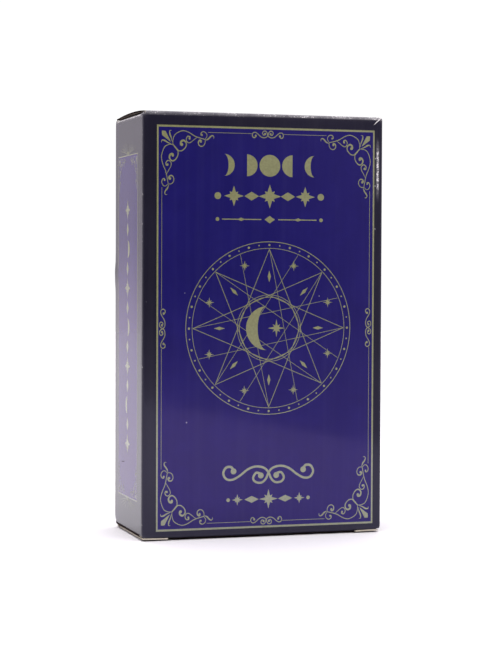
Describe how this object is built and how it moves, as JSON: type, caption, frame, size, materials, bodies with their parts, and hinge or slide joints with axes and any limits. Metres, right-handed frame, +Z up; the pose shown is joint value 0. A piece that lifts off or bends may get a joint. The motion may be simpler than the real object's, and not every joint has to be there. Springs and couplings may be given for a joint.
{
  "type": "tarot card deck",
  "caption": "Boxed tarot card deck: slim upright tuck-end carton of glossy printed board, hinged lids, tuck and dust flaps at both ends, holding a full stack of loose cards.",
  "frame": {"origin": "on the table, under the middle of the standing carton's outline", "axes": "+Z up along the standing carton, front face towards -Y, +X to the right seen from the front"},
  "size_m": [0.074, 0.034, 0.1256],
  "materials": {
    "printed_board": "gloss varnish over dark blue and khaki gold print",
    "board_inside": "uncoated inside of the carton board",
    "card_stock": "smooth coated card with cut white edges"
  },
  "bodies": {
    "carton": {"front_panel": "printed_board", "back_panel": "printed_board", "left_side_panel": "printed_board", "right_side_panel": "printed_board", "glue_flap": "board_inside"},
    "top_lid": {"top_lid": "printed_board"},
    "top_tuck_flap": {"top_tuck_flap": "printed_board"},
    "top_left_dust_flap": {"top_left_dust_flap": "printed_board"},
    "top_right_dust_flap": {"top_right_dust_flap": "printed_board"},
    "bottom_lid": {"bottom_lid": "printed_board"},
    "bottom_tuck_flap": {"bottom_tuck_flap": "printed_board"},
    "bottom_left_dust_flap": {"bottom_left_dust_flap": "printed_board"},
    "bottom_right_dust_flap": {"bottom_right_dust_flap": "printed_board"},
    "deck": {"fool_card": "card_stock", "magician_card": "card_stock", "high_priestess_card": "card_stock", "empress_card": "card_stock", "emperor_card": "card_stock", "hierophant_card": "card_stock", "lovers_card": "card_stock", "chariot_card": "card_stock", "strength_card": "card_stock", "hermit_card": "card_stock", "wheel_of_fortune_card": "card_stock", "justice_card": "card_stock", "hanged_man_card": "card_stock", "death_card": "card_stock", "temperance_card": "card_stock", "devil_card": "card_stock", "tower_card": "card_stock", "star_card": "card_stock", "moon_card": "card_stock", "sun_card": "card_stock", "judgement_card": "card_stock", "world_card": "card_stock", "wands_number_cards": "card_stock", "cups_number_cards": "card_stock", "swords_number_cards": "card_stock", "pentacles_number_cards": "card_stock", "wands_page_card": "card_stock", "wands_knight_card": "card_stock", "wands_queen_card": "card_stock", "wands_king_card": "card_stock", "cups_page_card": "card_stock", "cups_knight_card": "card_stock", "cups_queen_card": "card_stock", "cups_king_card": "card_stock", "swords_page_card": "card_stock", "swords_knight_card": "card_stock", "swords_queen_card": "card_stock", "swords_king_card": "card_stock", "pentacles_page_card": "card_stock", "pentacles_knight_card": "card_stock", "pentacles_queen_card": "card_stock", "pentacles_king_card": "card_stock"}
  },
  "joints": [
    {"name": "top_lid_hinge", "type": "hinge", "parent": "carton", "child": "top_lid", "pos_m": [0, -0.01625, 0.12375], "axis": [1, 0, 0], "range_deg": [0, 120]},
    {"name": "top_tuck_crease", "type": "hinge", "parent": "top_lid", "child": "top_tuck_flap", "pos_m": [0, 0.01519, 0.12395], "axis": [1, 0, 0], "range_deg": [-70, 0]},
    {"name": "top_left_dust_crease", "type": "hinge", "parent": "carton", "child": "top_left_dust_flap", "pos_m": [-0.03625, 0, 0.123], "axis": [0, -1, 0], "range_deg": [0, 70]},
    {"name": "top_right_dust_crease", "type": "hinge", "parent": "carton", "child": "top_right_dust_flap", "pos_m": [0.03625, 0, 0.123], "axis": [0, 1, 0], "range_deg": [0, 70]},
    {"name": "bottom_lid_hinge", "type": "hinge", "parent": "carton", "child": "bottom_lid", "pos_m": [0, 0.01625, 0.00075], "axis": [1, 0, 0], "range_deg": [0, 120]},
    {"name": "bottom_tuck_crease", "type": "hinge", "parent": "bottom_lid", "child": "bottom_tuck_flap", "pos_m": [0, -0.01519, 0.00055], "axis": [1, 0, 0], "range_deg": [-70, 0]},
    {"name": "bottom_left_dust_crease", "type": "hinge", "parent": "carton", "child": "bottom_left_dust_flap", "pos_m": [-0.03625, 0, 0.0015], "axis": [0, 1, 0], "range_deg": [0, 70]},
    {"name": "bottom_right_dust_crease", "type": "hinge", "parent": "carton", "child": "bottom_right_dust_flap", "pos_m": [0.03625, 0, 0.0015], "axis": [0, -1, 0], "range_deg": [0, 70]},
    {"name": "deck_slide", "type": "slide", "parent": "carton", "child": "deck", "axis": [0, 0, 1], "range_m": [0, 0.0017]}
  ],
  "couplings": [
    {"joint": "top_tuck_crease", "follows": "top_lid_hinge", "ratio": -0.5},
    {"joint": "top_left_dust_crease", "follows": "top_lid_hinge", "ratio": 0.5},
    {"joint": "top_right_dust_crease", "follows": "top_lid_hinge", "ratio": 0.5},
    {"joint": "bottom_tuck_crease", "follows": "bottom_lid_hinge", "ratio": -0.5},
    {"joint": "bottom_left_dust_crease", "follows": "bottom_lid_hinge", "ratio": 0.5},
    {"joint": "bottom_right_dust_crease", "follows": "bottom_lid_hinge", "ratio": 0.5}
  ]
}
